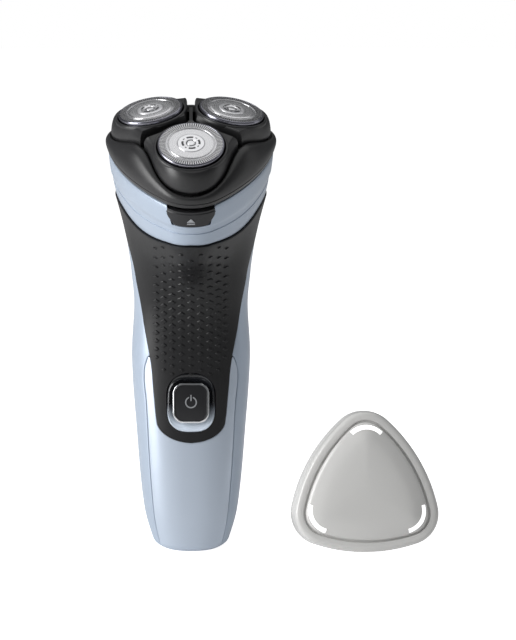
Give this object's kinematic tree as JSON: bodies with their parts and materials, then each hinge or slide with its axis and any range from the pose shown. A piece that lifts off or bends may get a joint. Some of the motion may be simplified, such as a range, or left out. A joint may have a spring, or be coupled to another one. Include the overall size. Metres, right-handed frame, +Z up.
{
  "type": "electric shaver",
  "caption": "Rotary electric shaver with a curved rubber-gripped handle, an opening head with sprung round shaving units, and a loose protective travel cap standing beside it.",
  "frame": {"origin": "middle of the handle's flat base, on the surface it stands on", "axes": "+Z up along the standing handle, -Y is the side with the power button, +X towards the travel cap"},
  "size_m": [0.1235, 0.0712, 0.1697],
  "materials": {
    "shell_blue": "satin pearl",
    "panel_blue": "gloss",
    "grip_rubber": "matt",
    "head_black": "satin",
    "button_black": "satin",
    "chrome_trim": "polished",
    "shaver_steel": "brushed",
    "hub_silver": "brushed",
    "inner_plastic": "moulded",
    "inner_dark": "moulded",
    "seal_rubber": "matt",
    "battery_wrap": "shrink wrap",
    "board_green": "solder mask",
    "motor_steel": "plated",
    "pinion_brass": "machined",
    "socket_black": "moulded",
    "icon_grey": "printed",
    "cap_smoke": "translucent"
  },
  "bodies": {
    "handle": {"rear_housing": "shell_blue", "front_panel": "panel_blue", "grip_panel": "grip_rubber", "collar": "shell_blue", "base_plate": "shell_blue", "charge_socket": "socket_black", "charge_pins": "chrome_trim", "battery": "battery_wrap", "chassis": "inner_plastic", "circuit_board": "board_green", "tact_switch": "inner_dark", "button_surround": "button_black", "button_seal": "seal_rubber", "motor_can": "motor_steel", "motor_mount": "inner_plastic", "gear_plate": "inner_plastic", "plate_screws": "motor_steel", "chamber_floor": "inner_dark", "chamber_seal": "seal_rubber", "spindle_seals": "seal_rubber", "hinge_bracket": "inner_dark", "hinge_pin": "motor_steel"},
    "rotor": {"motor_shaft": "motor_steel", "motor_pinion": "pinion_brass"},
    "power_button": {"power_button": "button_black", "button_trim": "chrome_trim", "power_icon": "icon_grey"},
    "release_button": {"release_button": "button_black", "release_icon": "icon_grey"},
    "shaving_head": {"head_skirt": "head_black", "petal_rib": "head_black", "head_carrier": "inner_dark", "retaining_frame": "inner_dark", "hinge_lug": "head_black"},
    "travel_cap": {"travel_cap": "cap_smoke"},
    "drive_front": {"drive_gear_front": "inner_plastic", "drive_spindle_front": "motor_steel"},
    "petal_front": {"petal_front": "head_black"},
    "guard_front": {"guard_front": "shaver_steel", "guard_hub_front": "hub_silver"},
    "cutter_front": {"cutter_front": "shaver_steel", "cutter_carrier_front": "inner_dark"},
    "drive_right": {"drive_gear_right": "inner_plastic", "drive_spindle_right": "motor_steel"},
    "petal_right": {"petal_right": "head_black"},
    "guard_right": {"guard_right": "shaver_steel", "guard_hub_right": "hub_silver"},
    "cutter_right": {"cutter_right": "shaver_steel", "cutter_carrier_right": "inner_dark"},
    "drive_left": {"drive_gear_left": "inner_plastic", "drive_spindle_left": "motor_steel"},
    "petal_left": {"petal_left": "head_black"},
    "guard_left": {"guard_left": "shaver_steel", "guard_hub_left": "hub_silver"},
    "cutter_left": {"cutter_left": "shaver_steel", "cutter_carrier_left": "inner_dark"}
  },
  "joints": [
    {"name": "rotor_spin", "type": "hinge", "parent": "handle", "child": "rotor", "pos_m": [0, -0.00267, 0.13483], "axis": [0, -0.3907, 0.9205], "continuous": true},
    {"name": "drive_front_spin", "type": "hinge", "parent": "handle", "child": "drive_front", "pos_m": [0, -0.01749, 0.13071], "axis": [0, -0.3907, 0.9205], "continuous": true},
    {"name": "petal_front_tilt", "type": "hinge", "parent": "shaving_head", "child": "petal_front", "pos_m": [0, -0.02566, 0.14549], "axis": [1, 0, 0], "range_deg": [-2, 2], "stiffness_Nm_per_rad": 0.5},
    {"name": "guard_front_float", "type": "slide", "parent": "petal_front", "child": "guard_front", "axis": [0, 0.5592, -0.829], "range_m": [0, 0.0008], "stiffness_N_per_m": 800, "springref_m": -0.0006},
    {"name": "cutter_front_spin", "type": "hinge", "parent": "guard_front", "child": "cutter_front", "pos_m": [0, -0.02892, 0.15414], "axis": [0, -0.5592, 0.829], "continuous": true},
    {"name": "drive_right_spin", "type": "hinge", "parent": "handle", "child": "drive_right", "pos_m": [0.01321, 0.00357, 0.13965], "axis": [0, -0.3907, 0.9205], "continuous": true},
    {"name": "petal_right_tilt", "type": "hinge", "parent": "shaving_head", "child": "petal_right", "pos_m": [0.01472, -0.00219, 0.15546], "axis": [-0.5, 0.7972, 0.3384], "range_deg": [-2, 2], "stiffness_Nm_per_rad": 0.5},
    {"name": "guard_right_float", "type": "slide", "parent": "petal_right", "child": "guard_right", "axis": [-0.1652, 0.2957, -0.9409], "range_m": [0, 0.0008], "stiffness_N_per_m": 800, "springref_m": -0.0006},
    {"name": "cutter_right_spin", "type": "hinge", "parent": "guard_right", "child": "cutter_right", "pos_m": [0.01439, -0.00598, 0.16388], "axis": [0.1652, -0.2957, 0.9409], "continuous": true},
    {"name": "drive_left_spin", "type": "hinge", "parent": "handle", "child": "drive_left", "pos_m": [-0.01321, 0.00357, 0.13965], "axis": [0, -0.3907, 0.9205], "continuous": true},
    {"name": "petal_left_tilt", "type": "hinge", "parent": "shaving_head", "child": "petal_left", "pos_m": [-0.01472, -0.00219, 0.15546], "axis": [-0.5, -0.7972, -0.3384], "range_deg": [-2, 2], "stiffness_Nm_per_rad": 0.5},
    {"name": "guard_left_float", "type": "slide", "parent": "petal_left", "child": "guard_left", "axis": [0.1652, 0.2957, -0.9409], "range_m": [0, 0.0008], "stiffness_N_per_m": 800, "springref_m": -0.0006},
    {"name": "cutter_left_spin", "type": "hinge", "parent": "guard_left", "child": "cutter_left", "pos_m": [-0.01439, -0.00598, 0.16388], "axis": [-0.1652, -0.2957, 0.9409], "continuous": true},
    {"name": "head_hinge", "type": "hinge", "parent": "handle", "child": "shaving_head", "pos_m": [0, 0.01539, 0.15423], "axis": [-1, 0, 0], "range_deg": [0, 100]},
    {"name": "power_press", "type": "slide", "parent": "handle", "child": "power_button", "axis": [0, 0.9877, -0.1564], "range_m": [0, 0.0008], "stiffness_N_per_m": 2000, "springref_m": -0.0003},
    {"name": "release_press", "type": "slide", "parent": "handle", "child": "release_button", "axis": [0, 0.9205, 0.3907], "range_m": [0, 0.001], "stiffness_N_per_m": 1500, "springref_m": -0.0003},
    {"name": "cap_lift", "type": "slide", "parent": "handle", "child": "travel_cap", "axis": [0, 0, 1], "range_m": [0, 0.06]}
  ],
  "couplings": [
    {"joint": "drive_front_spin", "follows": "rotor_spin", "ratio": -0.32609},
    {"joint": "cutter_front_spin", "follows": "rotor_spin", "ratio": -0.32609},
    {"joint": "drive_right_spin", "follows": "rotor_spin", "ratio": -0.32609},
    {"joint": "cutter_right_spin", "follows": "rotor_spin", "ratio": -0.32609},
    {"joint": "drive_left_spin", "follows": "rotor_spin", "ratio": -0.32609},
    {"joint": "cutter_left_spin", "follows": "rotor_spin", "ratio": -0.32609}
  ]
}
